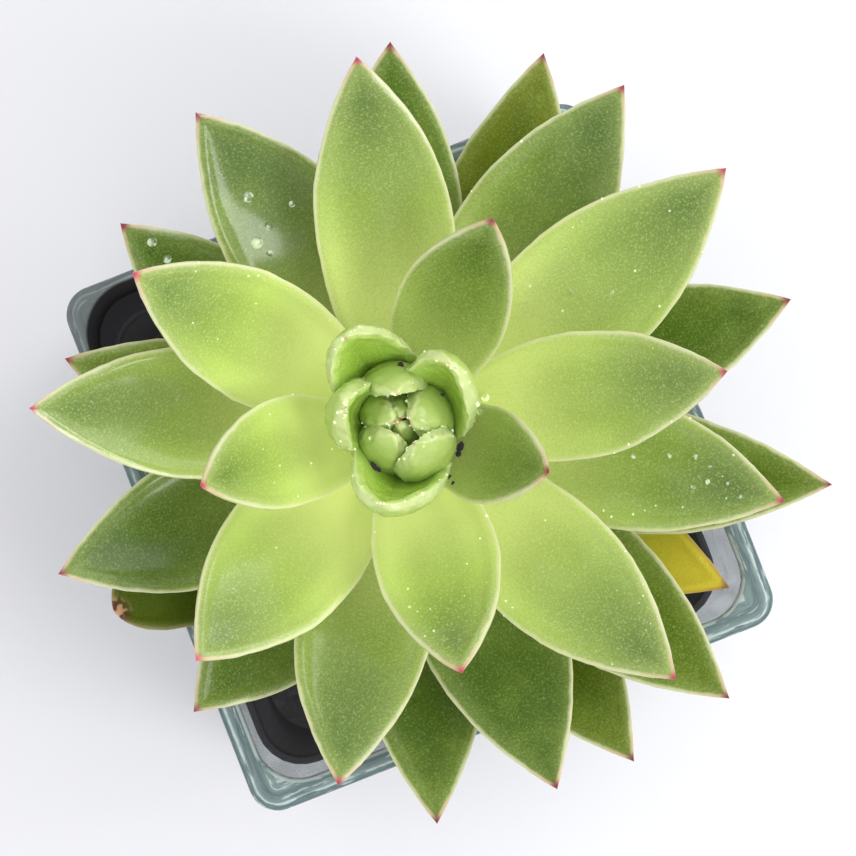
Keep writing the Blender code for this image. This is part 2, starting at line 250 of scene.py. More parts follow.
# Marks on the wax. A noise is its scale, detail and roughness. A range is where a mark
# starts and ends, and where there are four numbers, how strong it is at either.
wax = {
    "youngStops": (0.28, 0.56, 0.86), "oldStops": (0.25, 0.55, 0.9), "oliveShare": 0.8,
    "cloud": (110, 3, 0.55), "clouded": (0.4, 0.75, 0, 0.16),
    "paintedCentreShade": (2, 8, 0, 0.3), "paintedCentreShadeAlong": (0.15, 0.5),
    "nearMargin": (6, 1.4, 0, 0.42), "marginCloud": 2, "fading": 0.7,
    "speck": (2600, 2, 0.6), "bright": (0.5, 0.72, 0, 0.42),
    "dim": (0.52, 0.3), "dimByAge": 0.22, "dimAlways": 0.06,
    "dotScale": 900, "dot": (0.17, 0.07), "dotShare": 0.28,
    "patches": (260, 1, 0.5), "patch": (0.5, 0.62),
    "toneShare": 0.06, "underShare": 0.45,
    "wobble": (420, 2, 0.6), "rim": (1.25, 0.45), "rimWobble": 0.6, "rimShare": 0.72,
    "flush": (8, 2), "flushShare": 0.45,
    "tan": (0.44, 0.54), "pointEnd": 2.9, "pointWobble": 1.2,
    "paintedGlow": (0.7, 0.15), "paintedGlowFading": 0.8,
    "fine": (1500, 3, 0.6), "roughness": (0.3, 0.75, 0.36, 0.56),
    "coat": (0.76, 0.88, 0.7, 0.12),
    "pits": (260, 2, 0.5), "fineRelief": 0.35, "speckRelief": 0.25, "relief": 0.09,
}

# What each vertex of a leaf tells its finish: its place along the leaf, its distance from
# the margin and from the point, then the leaf's age, which also carries painted shade, the side,
# its tone and its olive.
leafReadings = ("along", "edge", "point", "depth", "upper", "tone", "olive")


def leafSkin(kind):
    name, colours, shares = leafKinds[kind]
    ink = inkOf({**leafColours, **colours})
    share = {**leafShares, **shares}
    skin = Finish(
        name, Specular_IOR_Level=0.2, Subsurface_Weight=0.1, Subsurface_Scale=1.2 * mm,
        Coat_Roughness=0.15, Emission_Strength=share["glow"],
    )
    along, edge, point, ageAndShade, upper, tone, olive = (skin.reading(name) for name in leafReadings)

    parts = ("Base", "Middle", "End")
    young = skin.ramp(along, wax["youngStops"], [ink["young" + part] for part in parts])
    old = skin.ramp(along, wax["oldStops"], [ink["old" + part] for part in parts])
    young = skin.blend(upper * share["inner"], young, ink["inner"])
    blade = skin.blend(ageAndShade, young, old)
    blade = skin.blend(olive * wax["oliveShare"], blade, ink["olive"])

    # Broad clouding of the green, then the fine bright and dark speckle of the wax.
    cloud = skin.grain(*wax["cloud"])
    blade = skin.blend(skin.fade(cloud, *wax["clouded"]), blade, ink["youngMiddle"])
    # Painted shade: the middle of the blade, away from the margin, is darkened, rising from near
    # the foot to full strength halfway along.
    paintedCentreShade = skin.fade(edge, *wax["paintedCentreShade"]) * skin.fade(along, *wax["paintedCentreShadeAlong"])
    blade = skin.blend(paintedCentreShade, blade, ink["oldMiddle"])
    fresh = 1 - ageAndShade * wax["fading"]
    paler = skin.fade(edge + cloud * wax["marginCloud"], *wax["nearMargin"]) * fresh
    blade = skin.blend(paler, blade, ink["marginGlow"])
    speck = skin.grain(*wax["speck"])
    blade = skin.blend(skin.fade(speck, *wax["bright"]) * fresh, blade, ink["bloom"])
    dim = skin.fade(speck, *wax["dim"]) * (ageAndShade * wax["dimByAge"] + wax["dimAlways"])
    blade = skin.blend(dim, blade, ink["shade"])
    dots = skin.node(
        "ShaderNodeTexVoronoi", {"feature": "F1"},
        {"Vector": skin.spot(), "Scale": wax["dotScale"]}, out="Distance",
    )
    patches = skin.grain(*wax["patches"])
    dust = skin.fade(dots, *wax["dot"]) * skin.fade(patches, *wax["patch"])
    blade = skin.blend(dust * wax["dotShare"], blade, ink["bloom"])

    toned = {"Value": 1 + tone * wax["toneShare"], "Color": blade}
    over = skin.node("ShaderNodeHueSaturation", sockets=toned)
    under = skin.blend(wax["underShare"], over, ink["under"])
    blade = skin.blend(upper, under, over)

    # Pale margin, blushed towards the point.
    wobble = skin.grain(*wax["wobble"])
    rim = skin.fade(edge + wobble * wax["rimWobble"], *wax["rim"])
    blade = skin.blend(rim * wax["rimShare"], blade, ink["margin"])
    flush = skin.fade(point, *wax["flush"]) * rim
    blade = skin.blend(flush * wax["flushShare"], blade, ink["blush"])
    tip = skin.blend(ageAndShade, ink["youngPoint"], ink["oldPoint"])
    tip = skin.blend(skin.fade(wobble, *wax["tan"]) * share["tan"], tip, ink["tan"])
    size = share["pointSize"]
    tipped = skin.fade(point + wobble * wax["pointWobble"], wax["pointEnd"] * size, size)
    blade = skin.blend(tipped, blade, tip)

    # Painted glow: the fleshy foot of a young leaf gives off light, standing in for light coming
    # through it.
    paintedGlow = skin.fade(along, *wax["paintedGlow"]) * upper * (1 - ageAndShade * wax["paintedGlowFading"])
    fine = skin.grain(*wax["fine"])
    relief = fine * wax["fineRelief"] + speck * wax["speckRelief"] + skin.grain(*wax["pits"])
    return skin.shows(
        Base_Color=blade,
        Emission_Color=skin.blend(paintedGlow, noGlow, ink["youngBase"]),
        Roughness=skin.fade(fine, *wax["roughness"]),
        Coat_Weight=skin.fade(ageAndShade, *wax["coat"]) * (1 - rim) + rim,
        Normal=skin.bumped(relief, wax["relief"]),
    )


# The plant

plant = {
    "axis": (-0.7, 6.5), "crown": 128, "internode": 1.0, "turn": 138.2, "firstAzimuth": -39.0,
    "stemRadius": 7, "neckShare": 0.5, "neckHeight": 9, "room": 0.3,
    "oldSlope": 8, "slopeSpread": 48, "slopeFade": 8, "curl": 9,
    "fullWidth": 24, "thickness": 5.4, "thickPower": 0.7, "upperShare": 0.2,
    "cup": 2.2, "cupPower": 3, "baseWidth": 0.38, "widest": 0.5, "thickEdge": 0.82,
    "tipPower": 0.9, "bluntTip": 0.45, "rim": 0.34, "rimPlace": 1.5, "rimWidth": 0.75,
    "swell": 0.35, "ripple": (0.5, 0.12), "pucker": 0.05, "around": 48, "along": 56,
}

# Node, place in the spiral, drift, reach, width, sway and roll of each large leaf, then
# how deep its green is, partly its own darker green and partly painted shade on the steep
# inner leaves and the low old ones, and how olive.
largeLeaves = (
    ("leaf_01", 0, 0, 25.5, 17.0, -0.5, 0, 0.6, 0),
    ("leaf_02", 1, -7, 34.0, 18.7, -1.2, 0, 0.0, 0),
    ("leaf_03", 2, 0, 37.0, 19.5, 0.0, 0, 0.6, 0),
    ("leaf_04", 3, -4, 42.0, 21.5, 0.5, 0, 0.05, 0),
    ("leaf_05", 4, 1, 50.5, 22.2, -0.7, 0, 0.05, 0),
    ("leaf_06", 5, -2, 54.5, 22.0, 0.0, 0, 0.25, 0),
    ("leaf_07", 6, -4, 52.0, 24.6, 0.0, 0, 0.0, 0),
    ("leaf_08", 7, 2, 61.5, 24.0, -1.2, 0, 0.3, 0),
    ("leaf_09", 8, 0.5, 62.5, 23.5, -0.4, 0, 0.2, 0),
    ("leaf_10", 9, -1, 62.5, 23.0, -0.5, 0, 0.3, 0),
    ("leaf_11", 10, -2, 69.5, 25.5, -1.9, 0, 0.25, 0),
    ("leaf_12", 11, -2, 62.0, 24.0, -0.5, 0, 0.45, 0),
    ("leaf_13", 12, -0.5, 63.5, 24.5, -2.2, 0, 0.7, 0),
    ("leaf_14", 13, 3, 66.5, 24.0, 1.2, 0, 0.35, 0),
    ("leaf_15", 14, -4, 64.0, 24.0, 1.4, 0, 0.8, 0),
    ("leaf_16", 15, -12.5, 69.5, 25.5, -0.4, -10, 0.6, 0),
    ("leaf_17", 16, 2, 68.0, 25.4, 0.4, 0, 0.9, 0),
    ("leaf_18", 17, -8.5, 59.8, 21.5, 1.9, 0, 0.75, 0),
    ("leaf_19", 18, 3.2, 70.5, 24.0, -1.2, -12, 0.9, 0.1),
    ("leaf_20", 19, -2.5, 61.5, 25.0, 3.0, 0, 0.65, 0.1),
    ("leaf_21", 20, -6.5, 66.5, 24.0, 0.1, 0, 0.85, 0),
    ("leaf_22", 21, 0, 74.0, 24.5, -0.4, 0, 0.9, 0.3),
    ("leaf_23", 22, -13, 60.0, 20.5, 2.0, 0, 0.5, 0.3),
    ("leaf_24", 23, 1.5, 50.0, 18.5, 0.0, 0, 1.0, 0.3),
    ("leaf_25", 24, 9.5, 70.0, 23.0, 0.0, 0, 0.95, 0.1),
    ("leaf_26", 25, -5, 50.0, 19.0, 0.0, 0, 1.0, 0.3),
    ("leaf_27", 26, 3, 76.0, 23.0, -2.0, 0, 0.9, 0.2),
    ("leaf_28", 27, 2.2, 60.5, 20.5, 1.8, 0, 1.0, 0),
    ("leaf_29", 28, -3.5, 70.0, 23.0, -3.0, 0, 0.85, 0.9),
    ("leaf_30", 29, 10, 72.0, 24.0, -0.5, 0, 1.0, 0.45),
    ("leaf_35", 34, 10, 65.0, 20.5, -1.2, 4, 1.0, 0),
)
oldLeaves = {"leaf_28": "withered_leaf", "leaf_35": "yellow_leaf"}

# Place, drift, tip's reach and height over the crown, width, thickness, curl, cup and sway
# of each young leaf in the heart. The outer four stand up, and the inner ones curl over
# until their backs face up.
heartLeaves = (
    (-1, 2, 17.0, 28.0, 15.5, 4.2, 14, 4.4, -0.8),
    (-2, -2, 13.4, 27.5, 17.0, 4.6, 16, 5.0, 1.5),
    (-3, 15, 12.6, 28.0, 14.8, 4.8, 16, 4.2, -2.0),
    (-4, -13, 9.6, 26.5, 12.8, 4.8, 20, 3.0, 0.8),
    (-5, -3, 3.6, 25.0, 12.4, 4.2, 40, 1.6, 0.0),
    (-6, 8, 5.0, 23.5, 12.0, 4.2, 42, 2.0, 0.0),
    (-7, 6, 1.6, 22.5, 10.0, 4.4, 42, 1.6, 0.0),
    (-8, 14, 1.4, 22.5, 10.4, 4.4, 44, 1.6, 0.0),
    (-9, 4, 1.0, 20.5, 7.4, 4.0, 42, 1.0, 0.0),
    (-10, 20, -0.6, 21.0, 5.6, 3.4, 26, 0.6, 0.0),
    (-11, 25, 1.2, 21.0, 4.8, 3.0, 22, 0.6, 0.0),
    (-12, -50, 0.0, 20.5, 4.4, 3.0, 22, 0.5, 0.0),
)
heart = {
    "foot": 2.0, "rise": 2.0, "tipPower": 0.5, "thickEdge": 0.55, "cupPower": 1.7,
    "swell": 0.6, "ripple": (1.1, 0.45), "pucker": 0.28, "around": 44, "along": 44,
    "tone": 1.3, "toneByPlace": 0.42, "toneSpread": 0.4,
    "coreRadius": 4.0, "coreHeight": 15, "coreAround": 24, "coreAlong": 16,
}

# How the surface of every leaf is worked.
leafForm = {
    "closing": (1.004, 1.01), "rimFrom": 4, "sideSharp": 3, "swellScale": 0.11,
    "swellFoot": 3, "rippleReach": 0.8, "rippleTip": 20, "puckerScale": 0.75,
}


def stemRadiusAt(height):
    below = min(1, max(0, plant["crown"] - height) / plant["neckHeight"])
    return plant["stemRadius"] * (plant["neckShare"] + (1 - plant["neckShare"]) * below)


# The leaf's half width at a place along it, as a share of the widest.
def outlineAt(s, tipPower):
    widest = plant["widest"]
    if s < widest:
        return 1 - (1 - plant["baseWidth"]) * ((widest - s) / widest) ** 2
    return math.sin(math.pi / 2 * ((1 - s) / (1 - widest)) ** tipPower)


# One leaf from a sphere: the poles become its foot and its point. Sizes are in millimetres.
def growLeaf(bm, layers, leaf):
    first = math.radians(leaf["slope"] - leaf["curl"])
    bend = math.radians(2 * leaf["curl"])
    upper = plant["upperShare"] * leaf["thickness"]
    lower = leaf["thickness"] - upper
    azimuth = plant["firstAzimuth"] - plant["turn"] * leaf["place"] + leaf["drift"]
    turn = Matrix.Rotation(math.radians(azimuth), 3, "Z")
    foot = Vector((*plant["axis"], leaf["height"]))
    blunt = leaf["thickEdge"]
    near, far = leafForm["closing"]
    verts = bmesh.ops.create_uvsphere(
        bm, u_segments=leaf["around"], v_segments=leaf["along"], radius=1
    )["verts"]
    last = max(verts, key=lambda vert: vert.co.z)
    for vert in verts:
        s = (1 + vert.co.z) / 2
        side = Vector((vert.co.x, vert.co.y))
        side = side.normalized() if side.length > 1e-4 else Vector((0, 0))
        # A blunter section than an ellipse, so that the margin stays thick.
        x = math.copysign(abs(side.x) ** blunt, side.x)
        y = math.copysign(abs(side.y) ** blunt, side.y)
        share = outlineAt(s, leaf["tipPower"]) * ((near - s) / (far - s))
        half = leaf["width"] / 2 * share
        edge = half * (1 - abs(x))
        across = x * half
        rise = leaf["cup"] * share**2 * abs(x) ** leaf["cupPower"]
        rise += (upper if y > 0 else lower) * y * share**0.8
        if y > 0:
            swell = math.exp(-(((edge - plant["rimPlace"]) / plant["rimWidth"]) ** 2))
            swell = plant["rim"] * swell * min(1, half / leafForm["rimFrom"])
            rise += swell * min(1, y * leafForm["sideSharp"])
        twist = math.radians(leaf["roll"]) * s
        across, rise = (
            across * math.cos(twist) - rise * math.sin(twist),
            across * math.sin(twist) + rise * math.cos(twist),
        )
        angle = first + bend * s
        out = leaf["length"] * (math.sin(angle) - math.sin(first)) / bend
        up = leaf["length"] * (math.cos(first) - math.cos(angle)) / bend
        at = Vector(
            (
                leaf["foot"] + out - rise * math.sin(angle),
                across + leaf["sway"] * 4 * s * (1 - s),
                up + rise * math.cos(angle),
            )
        )
        at = turn @ at + foot
        # Slow swells keep the blade from looking turned on a lathe.
        wave = noise.noise_vector(at * leafForm["swellScale"] + Vector((leaf["place"], 0, 0)))
        at += wave * leaf["swell"] * share * min(1, leafForm["swellFoot"] * s)
        rough = noise.noise_vector(at * leaf["ripple"][0]) * leaf["ripple"][1]
        rough *= math.exp(-edge / leafForm["rippleReach"])
        at += rough * min(1, (1 - s) * leafForm["rippleTip"])
        at += noise.noise_vector(at * leafForm["puckerScale"]) * leaf["pucker"]
        vert.co = at * mm
        vert[layers["along"]] = s
        vert[layers["edge"]] = edge
        vert[layers["depth"]] = leaf["depth"]
        vert[layers["upper"]] = min(1, max(0, 0.5 + y * leafForm["sideSharp"]))
        vert[layers["tone"]] = leaf["tone"]
        vert[layers["olive"]] = leaf["olive"]
    for vert in verts:
        vert[layers["point"]] = (vert.co - last.co).length / mm
    return verts


def leafMesh():
    bm = bmesh.new()
    return bm, {name: bm.verts.layers.float.new(name) for name in leafReadings}


def makeLargeLeaves(skins, drops):
    draw = random.Random(7)
    made = []
    for name, place, drift, reach, width, sway, roll, depth, olive in largeLeaves:
        kind = oldLeaves.get(name, "green_leaf")
        size = width / plant["fullWidth"]
        slope = plant["oldSlope"] + plant["slopeSpread"] * math.exp(-place / plant["slopeFade"])
        first = math.radians(slope - plant["curl"])
        last = math.radians(slope + plant["curl"])
        thickness = plant["thickness"] * size ** plant["thickPower"]
        lean = plant["upperShare"] * thickness + plant["cup"] * size
        lean *= plant["baseWidth"] ** 2 * max(0, math.sin(first))
        height = plant["crown"] - plant["internode"] * place
        foot = stemRadiusAt(height) + plant["room"] + lean
        level = (math.sin(last) - math.sin(first)) / (last - first)
        leaf = {
            **plant, "place": place, "drift": drift, "width": width, "sway": sway, "roll": roll,
            "slope": slope, "thickness": thickness, "cup": plant["cup"] * size,
            "height": height, "foot": foot, "length": (reach - foot) / level,
            "depth": depth, "olive": olive, "tone": draw.uniform(-1, 1),
        }
        if kind == "withered_leaf":
            leaf["tipPower"] = plant["bluntTip"]
        bm, layers = leafMesh()
        verts = growLeaf(bm, layers, leaf)
        bmesh.ops.recalc_face_normals(bm, faces=bm.faces)
        bm.normal_update()
        low, high = water["wettable"]
        wettable = [
            vert for vert in verts
            if vert[layers["upper"]] == 1 and low < vert[layers["along"]] < high
        ]
        for vert in draw.sample(wettable, water["sprinkled"].get(name, 0)):
            drops.append(dropOn(vert, draw.uniform(*water["fine"])))
        made.append(finished(name + "_blade", bm, skins[kind], kind, name))
    print("large leaves:", len(made))
    return made


def makeHeart(skin, drops):
    draw = random.Random(11)
    bm, layers = leafMesh()
    beaded = []
    for place, drift, reach, tall, width, thick, curl, cup, sway in heartLeaves:
        out, up = reach - heart["foot"], tall - heart["rise"]
        bend = math.radians(curl)
        toneShift = draw.uniform(-heart["toneSpread"], heart["toneSpread"])
        leaf = {
            **heart, "place": place, "drift": drift, "width": width, "sway": sway, "roll": 0,
            "slope": math.degrees(math.atan2(up, out)), "curl": curl, "thickness": thick,
            "cup": cup, "height": plant["crown"] + heart["rise"],
            "length": math.hypot(out, up) * bend / math.sin(bend), "depth": 0, "olive": 0,
            "tone": heart["tone"] + heart["toneByPlace"] * place + toneShift,
        }
        verts = growLeaf(bm, layers, leaf)
        margin = [
            vert for vert in verts
            if vert[layers["edge"]] < water["margin"] and vert[layers["along"]] > 0.5
        ]
        beaded += draw.sample(margin, min(len(margin), water["beads"].get(place, 0)))
    # A round core closes the gap between the innermost feet.
    core = Vector((*plant["axis"], plant["crown"])) * mm
    shape = [heart[size] * mm for size in ("coreRadius", "coreRadius", "coreHeight")]
    ball = bmesh.ops.create_uvsphere(
        bm, u_segments=heart["coreAround"], v_segments=heart["coreAlong"], radius=1,
        matrix=Matrix.Translation(core) @ Matrix.Diagonal((*shape, 1)),
    )
    for vert in ball["verts"]:
        vert[layers["edge"]] = vert[layers["point"]] = heart["coreHeight"]
        vert[layers["upper"]] = 1
    bmesh.ops.recalc_face_normals(bm, faces=bm.faces)
    bm.normal_update()
    for vert in beaded:
        drops.append(dropOn(vert, draw.uniform(*water["bead"])))
    print("heart leaves:", len(heartLeaves))
    return finished("heart_leaves", bm, skin, "young_leaf", "heart")


# Water and crumbs on the leaves

water = {
    "fine": (0.14, 0.3), "bead": (0.12, 0.32), "squash": 0.7, "large": 0.36,
    "wettable": (0.1, 0.85), "margin": 0.5,
    "sprinkled": {
        "leaf_02": 14, "leaf_04": 22, "leaf_05": 16, "leaf_06": 10, "leaf_07": 14,
        "leaf_09": 30, "leaf_10": 14, "leaf_11": 26, "leaf_14": 26, "leaf_16": 14,
    },
    # Beads on the margin of each young leaf, by its place.
    "beads": {-1: 10, -2: 26, -3: 14, -4: 34, -5: 34, -6: 14, -7: 12, -8: 12, -9: 22, -10: 6},
    "glow": 0.5, "haze": (900, 1, 0.5), "hazeShare": 0.2, "paintedSparkle": (0.4, 0.6),
}
waterColours = {"clear": (255, 255, 255), "hazy": (236, 244, 240), "sparkle": (230, 240, 214)}

# Larger drops: the pixel of the photograph where each lies, across and down, and its radius.
dropPixels = (
    (248, 197, 1.0), (269, 226, 0.8), (257, 243, 1.1), (270, 253, 0.6), (292, 204, 0.6),
    (152, 242, 0.9), (167, 259, 0.8), (634, 456, 0.5), (669, 456, 0.45), (696, 457, 0.5),
    (710, 468, 0.45), (708, 482, 0.5), (693, 488, 0.45), (727, 484, 0.4), (741, 497, 0.45),
    (485, 397, 0.8), (480, 412, 0.6), (478, 404, 0.5), (571, 292, 0.45), (612, 292, 0.4),
)


def dropOn(vert, radius):
    return vert.co.copy(), vert.normal.copy(), radius


# One search tree over the given pieces, for finding where a ray meets them.
def surfaceOf(pieces):
    corners, faces = [], []
    for piece in pieces:
        first = len(corners)
        corners += [vert.co for vert in piece.data.vertices]
        faces += [[first + index for index in face.vertices] for face in piece.data.polygons]
    return BVHTree.FromPolygons(corners, faces)


def makeDrops(drops, surface):
    bm = bmesh.new()
    for across, down, radius in dropPixels:
        at, normal, _, _ = surface.ray_cast(*throughPixel(across, down))
        drops.append((at, normal, radius))
    for at, normal, radius in drops:
        turn = normal.to_track_quat("Z", "Y").to_matrix().to_4x4()
        size = Matrix.Diagonal((radius * mm, radius * mm, radius * water["squash"] * mm, 1))
        bmesh.ops.create_icosphere(
            bm, subdivisions=2 if radius > water["large"] else 1, radius=1,
            matrix=Matrix.Translation(at) @ turn @ size,
        )
    print("drops:", len(drops))
    # Painted sparkle: fine beads glow, standing in for light from all round that a lone light
    # can't give them.
    wet = Finish(
        "water", Transmission_Weight=0.9, IOR=1.33, Roughness=0.03,
        Emission_Strength=water["glow"],
    )
    ink = inkOf(waterColours)
    haze = wet.grain(*water["haze"])
    paintedSparkle = wet.fade(haze, *water["paintedSparkle"])
    wet.shows(
        Base_Color=wet.blend(haze * water["hazeShare"], ink["clear"], ink["hazy"]),
        Emission_Color=wet.blend(paintedSparkle, noGlow, ink["sparkle"]),
    )
    return finished("water_drops", bm, wet.material, None)


# Loose crumbs lie over the top of the soil, clear of the stem.
crumbs = {
    "count": 150, "spread": 36, "shift": (-1.4, -0.5), "level": 86.2, "size": (0.5, 1.5),
    "clear": 14, "lumpScale": 2600, "lump": 0.45,
}
# A few lie on the leaves: the pixel of each in the photograph, and its radius.
crumbPixels = (
    (461, 447, 0.9), (459, 454, 0.7), (373, 467, 0.8), (378, 470, 0.6), (449, 477, 0.6),
    (453, 483, 0.4), (401, 365, 0.6), (442, 395, 0.4),
)


def makeCrumbs(surface, earth):
    draw = random.Random(5)
    bm = bmesh.new()
    places = []
    for across, down, radius in crumbPixels:
        places.append((surface.ray_cast(*throughPixel(across, down))[0], radius))
    while len(places) < crumbs["count"]:
        x, y = (draw.uniform(-crumbs["spread"], crumbs["spread"]) for _ in range(2))
        if math.hypot(x - plant["axis"][0], y - plant["axis"][1]) > crumbs["clear"]:
            at = Vector((x + crumbs["shift"][0], y + crumbs["shift"][1], crumbs["level"])) * mm
            places.append((at, draw.uniform(*crumbs["size"])))
    for at, radius in places:
        made = bmesh.ops.create_icosphere(
            bm, subdivisions=1, radius=radius * mm, matrix=Matrix.Translation(at)
        )
        for vert in made["verts"]:
            lump = noise.noise_vector(vert.co * crumbs["lumpScale"])
            vert.co += lump * radius * crumbs["lump"] * mm
    print("crumbs:", len(places))
    return finished("soil_crumbs", bm, earth, "soil", smooth=False)


# Glass pot

glass = {
    "half": 50, "height": 100, "wall": 3.8, "floor": 9, "corner": 5.2, "innerCorner": 8,
    "rimRound": 1.3, "footRound": 1.0, "cove": 3.0, "cornerSteps": 10, "roundSteps": 5,
    "index": 1.47, "alpha": 0.74, "glow": 0.12, "gapGlow": 0.85,
}
# The rim's colours are painted light and shade along its edge.
glassColours = {
    "clear": (240, 247, 246), "paintedFloorGlow": (206, 218, 222), "deep": (88, 104, 109),
    "milky": (150, 164, 167), "paintedShadedPot": (36, 35, 38), "rimOutline": (70, 98, 102),
    "rimEdge": (90, 114, 114), "rimLine": (214, 227, 226), "rimMiddle": (120, 144, 143),
    "rimShade": (72, 96, 97), "rimGrey": (108, 110, 112),
}

# Marks in the glass, as noises and ranges like those of the leaves. Heights are over the
# foot, "leaning" ranges run towards the corner that the grow pot leans on, and "lip" ones
# are distances from the inner wall.
glassMarks = {
    "wave": (45, 2, 0.5), "waveDepth": 0.5, "cloudy": (26, 2, 0.5), "cloudShare": 0.3,
    "broken": (120, 3, 0.65), "patches": (0.38, 0.62), "paintedFloorGlowPatches": (0.38, 0.62, 0.25, 1),
    "paintedFloorGlowHeight": (70, 8), "floorHeight": (14, 9.5), "inWall": (-1, 0),
    "leaning": (66, 72), "leaningHeight": (26, 42), "gapHeight": (97, 94),
    "flowAcross": 1.6, "flowAlong": 0.14, "streak": (1, 3, 0.6), "streakShift": 0.3,
    "lineStops": (0.04, 0.14, 0.24, 0.32, 0.42, 0.75, 1.0),
    "bright": (0.56, 0.7, 0, 0.75), "dim": (0.48, 0.36, 0, 0.7),
    "lipPlace": 0.35, "lip": (0.4, 0.15), "lipPatches": (0.4, 0.5), "lipShare": 0.8,
    "leaningGrey": (74, 90, 0, 0.7), "rimHeight": (96.5, 98.8), "rimShare": 0.85,
    "touchCorner": (-38.3, 38.8), "touchRadius": (10.2, 9.4), "touchLeaning": (68, 76),
}


# A box with its four upright edges rounded. Sizes in millimetres.
def uprightBox(bm, half, corner, low, high):
    scale = Matrix.Diagonal((2 * half * mm, 2 * half * mm, (high - low) * mm, 1))
    place = Matrix.Translation((0, 0, (low + high) / 2 * mm)) @ scale
    made = bmesh.ops.create_cube(bm, size=1, matrix=place)["verts"]
    edges = {edge for vert in made for edge in vert.link_edges}
    upright = [edge for edge in edges if abs(edge.verts[0].co.z - edge.verts[1].co.z) > mm]
    bmesh.ops.bevel(
        bm, geom=upright, offset=corner * mm, offset_type="OFFSET",
        segments=glass["cornerSteps"], profile=0.5, affect="EDGES", material=-1,
    )


def makeGlass():
    inner = glass["half"] - glass["wall"]
    shapes = []
    for name, half, corner, low, high in (
        ("glass_block", glass["half"], glass["corner"], 0, glass["height"]),
        ("glass_hollow", inner, glass["innerCorner"], glass["floor"], 2 * glass["height"]),
    ):
        bm = bmesh.new()
        uprightBox(bm, half, corner, low, high)
        mesh = bpy.data.meshes.new(name)
        bm.to_mesh(mesh)
        bm.free()
        shape = bpy.data.objects.new(name, mesh)
        bpy.context.scene.collection.objects.link(shape)
        shapes.append(shape)
    block, hollow = shapes
    cut = block.modifiers.new("hollow", "BOOLEAN")
    cut.operation = "DIFFERENCE"
    cut.object = hollow
    bpy.context.view_layer.update()
    graph = bpy.context.evaluated_depsgraph_get()
    bm = bmesh.new()
    bm.from_mesh(block.evaluated_get(graph).to_mesh())
    for shape in shapes:
        bpy.data.objects.remove(shape, do_unlink=True)
    bmesh.ops.remove_doubles(bm, verts=bm.verts, dist=0.001 * mm)
    bmesh.ops.dissolve_limit(bm, angle_limit=math.radians(1), verts=bm.verts, edges=bm.edges)
    rounds = (
        (glass["height"], glass["rimRound"]),
        (0, glass["footRound"]),
        (glass["floor"], glass["cove"]),
    )
    for height, size in rounds:
        ring = [
            edge for edge in bm.edges
            if all(abs(vert.co.z / mm - height) < 0.01 for vert in edge.verts)
            and len(edge.link_faces) == 2 and edge.calc_face_angle(0) > 1
        ]
        bmesh.ops.bevel(
            bm, geom=ring, offset=size * mm, offset_type="OFFSET",
            segments=glass["roundSteps"], profile=0.5, affect="EDGES", material=-1,
        )
    bmesh.ops.recalc_face_normals(bm, faces=bm.faces)
    print("glass pot")
    return finished("glass_cube", bm, clearGlass(), "clear_glass", "glass_pot")


# How far a point lies inside an upright square with round corners.
def insideSquare(across, back, half, corner):
    aside = (abs(across) - (half - corner)).atLeast(0)
    behind = (abs(back) - (half - corner)).atLeast(0)
    return corner - (aside * aside + behind * behind) ** 0.5


# Painted light: the rim is painted with bright and dark lines along its edge, standing in for the
# light the walls gather, in the glass's own green, and greyer towards the corner the grow pot
# leans on.
def paintedRimLight(clear, ink, across, back, hollow, broken):
    marks = glassMarks
    inward = insideSquare(across, back, glass["half"], glass["corner"])
    sockets = {
        "X": inward * marks["flowAcross"],
        "Y": (across + back) * marks["flowAlong"],
        "Z": (across - back) * marks["flowAlong"],
    }
    flow = clear.node("ShaderNodeCombineXYZ", sockets=sockets)
    streak = clear.grain(*marks["streak"], where=flow)
    names = ("Outline", "Edge", "Middle", "Line", "Middle", "Edge", "Middle")
    paintedLines = clear.ramp(
        inward * (1 / glass["wall"]) + (streak - 0.5) * marks["streakShift"],
        marks["lineStops"], [ink["rim" + name] for name in names],
    )
    paintedLines = clear.blend(clear.fade(streak, *marks["bright"]), paintedLines, ink["rimLine"])
    paintedLines = clear.blend(clear.fade(streak, *marks["dim"]), paintedLines, ink["rimShade"])
    lip = clear.fade(abs(hollow + marks["lipPlace"]), *marks["lip"])
    lip = lip * clear.fade(broken, *marks["lipPatches"])
    paintedLines = clear.blend(lip * marks["lipShare"], paintedLines, ink["rimLine"])
    return clear.blend(clear.fade(back - across, *marks["leaningGrey"]), paintedLines, ink["rimGrey"])


